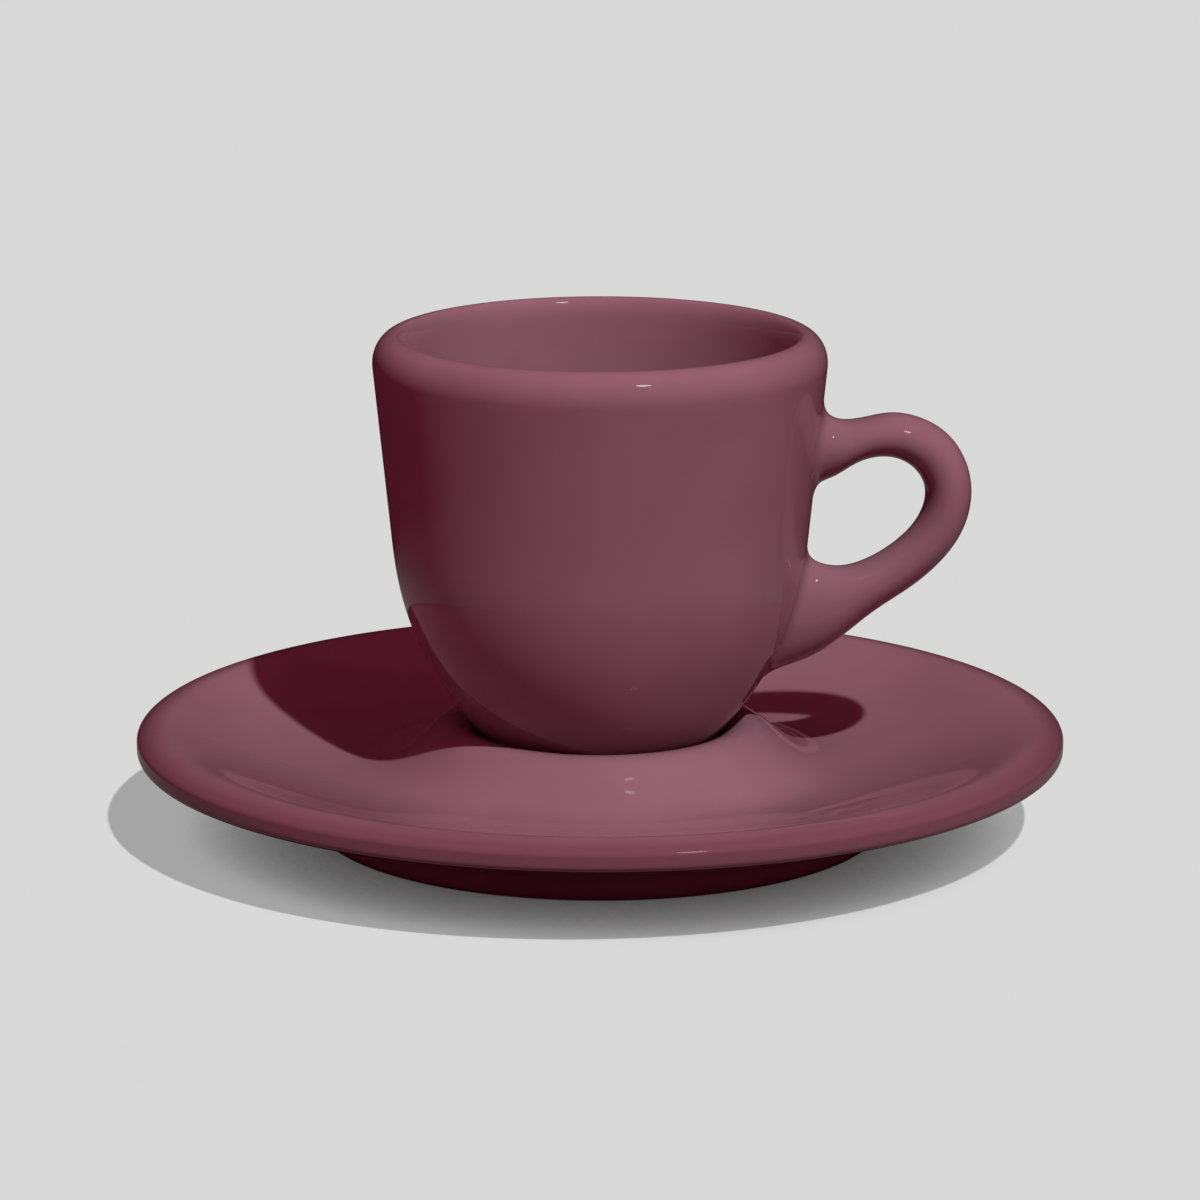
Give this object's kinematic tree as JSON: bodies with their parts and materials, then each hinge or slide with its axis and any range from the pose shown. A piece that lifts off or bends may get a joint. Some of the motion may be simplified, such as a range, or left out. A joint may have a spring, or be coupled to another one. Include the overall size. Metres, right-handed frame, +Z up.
{
  "type": "espresso cup with saucer",
  "caption": "Thick-walled espresso cup with a rolled lip and a looped handle, standing in the raised well of a round saucer with a broad rolled brim.",
  "frame": {"origin": "centre of the saucer's foot, on the surface it stands on", "axes": "+Z up along the axis of the saucer and the cup, +X from that axis towards the handle"},
  "size_m": [0.125, 0.125, 0.0676],
  "materials": {
    "saucer_glaze": "deep burgundy gloss glaze over white porcelain, bare on the standing face of the foot ring",
    "cup_glaze": "deep burgundy gloss glaze over white porcelain, bare on the standing face of the foot ring"
  },
  "bodies": {
    "saucer": {"saucer": "saucer_glaze"},
    "cup": {"cup_body": "cup_glaze", "cup_handle": "cup_glaze"}
  },
  "joints": [
    {"name": "cup_lift", "type": "slide", "parent": "saucer", "child": "cup", "axis": [0, 0, 1], "range_m": [0, 0.08]}
  ]
}
